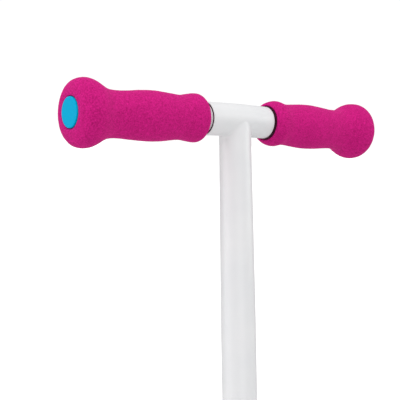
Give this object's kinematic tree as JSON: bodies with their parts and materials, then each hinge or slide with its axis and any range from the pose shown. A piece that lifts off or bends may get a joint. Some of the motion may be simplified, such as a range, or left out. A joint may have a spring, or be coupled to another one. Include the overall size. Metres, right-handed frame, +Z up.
{
  "type": "kick scooter",
  "caption": "Child's kick scooter with a welded T-bar that slides in the steerer, foam grips with end plugs, a flat deck and a sprung fender brake over the rear wheels.",
  "frame": {"origin": "on the floor, on the middle plane, halfway between the front of the front tyre and the back of the rear tyres", "axes": "+Z up, -Y the way the scooter rolls forward, +X towards the rider's left hand"},
  "size_m": [0.2904, 0.62, 0.6611],
  "materials": {
    "white_powder_coat": "semi-gloss powder coat",
    "magenta_foam": "matt fine-celled foam",
    "cyan_plastic": "moulded, satin",
    "magenta_plastic": "moulded, fine texture",
    "charcoal_rubber": "moulded tread",
    "grey_tyre": "moulded foam, matt",
    "zinc_steel": "bright zinc plate",
    "bearing_steel": "ground steel",
    "spring_steel": "phosphated wire",
    "collar_aluminium": "cast and tumbled",
    "black_nylon": "moulded"
  },
  "bodies": {
    "frame": {"head_tube": "white_powder_coat", "lower_headset_bush": "black_nylon", "upper_headset_bush": "black_nylon", "steering_stop_ring": "white_powder_coat", "neck_tube": "white_powder_coat", "neck_gusset": "white_powder_coat", "spine_tube": "white_powder_coat", "spine_end_cap": "black_nylon", "rear_axle_sleeve": "white_powder_coat", "rear_axle_rod": "zinc_steel", "rear_axle_spacers": "zinc_steel", "rear_axle_washers": "zinc_steel", "rear_axle_nuts": "zinc_steel", "deck": "magenta_plastic", "deck_grip_pad": "charcoal_rubber", "deck_straps": "white_powder_coat", "deck_screws": "zinc_steel", "brake_bracket": "white_powder_coat", "brake_pin": "zinc_steel", "brake_spring": "spring_steel"},
    "steering": {"fork": "white_powder_coat", "steerer_tube": "white_powder_coat", "thrust_washer": "zinc_steel", "top_washer": "zinc_steel", "clamp_collar": "collar_aluminium", "clamp_bolt": "zinc_steel", "clamp_nut": "zinc_steel", "lever_pin": "zinc_steel", "front_axle_bolt": "zinc_steel", "front_axle_nut": "zinc_steel", "front_axle_washers": "zinc_steel", "front_axle_spacers": "zinc_steel"},
    "handlebar": {"stem_tube": "white_powder_coat", "stem_end_plug": "black_nylon", "tee_sleeve": "white_powder_coat", "crossbar": "white_powder_coat", "left_grip": "magenta_foam", "right_grip": "magenta_foam", "left_end_plug": "cyan_plastic", "right_end_plug": "cyan_plastic", "left_bar_ring": "black_nylon", "right_bar_ring": "black_nylon"},
    "clamp_lever": {"clamp_lever": "black_nylon"},
    "front_wheel": {"front_tyre": "grey_tyre", "front_hub": "cyan_plastic", "front_bearings": "bearing_steel", "front_bearing_spacer": "zinc_steel"},
    "rear_left_wheel": {"rear_left_tyre": "grey_tyre", "rear_left_hub": "cyan_plastic", "rear_left_bearings": "bearing_steel", "rear_left_bearing_spacer": "zinc_steel", "rear_left_hub_cap": "magenta_plastic"},
    "rear_right_wheel": {"rear_right_tyre": "grey_tyre", "rear_right_hub": "cyan_plastic", "rear_right_bearings": "bearing_steel", "rear_right_bearing_spacer": "zinc_steel", "rear_right_hub_cap": "magenta_plastic"},
    "brake": {"brake_fender": "magenta_plastic", "brake_shoes": "charcoal_rubber"}
  },
  "joints": [
    {"name": "steering_turn", "type": "hinge", "parent": "frame", "child": "steering", "pos_m": [0, -0.235, 0.075], "axis": [0, 0.1219, 0.9925], "range_deg": [-45, 45]},
    {"name": "handlebar_height", "type": "slide", "parent": "steering", "child": "handlebar", "axis": [0, 0.1219, 0.9925], "range_m": [0, 0.05]},
    {"name": "clamp_lever_open", "type": "hinge", "parent": "steering", "child": "clamp_lever", "pos_m": [0.018, -0.18155, 0.25594], "axis": [0, 0.1219, 0.9925], "range_deg": [0, 120]},
    {"name": "front_wheel_spin", "type": "hinge", "parent": "steering", "child": "front_wheel", "pos_m": [0, -0.235, 0.075], "axis": [1, 0, 0], "continuous": true},
    {"name": "rear_left_wheel_spin", "type": "hinge", "parent": "frame", "child": "rear_left_wheel", "pos_m": [0.062, 0.255, 0.055], "axis": [1, 0, 0], "continuous": true},
    {"name": "rear_right_wheel_spin", "type": "hinge", "parent": "frame", "child": "rear_right_wheel", "pos_m": [-0.062, 0.255, 0.055], "axis": [1, 0, 0], "continuous": true},
    {"name": "brake_press", "type": "hinge", "parent": "frame", "child": "brake", "pos_m": [0, 0.201, 0.09], "axis": [-1, 0, 0], "range_deg": [0, 4.2], "stiffness_Nm_per_rad": 1.5, "springref_deg": -6.88, "deforming": ["brake_spring"]}
  ]
}
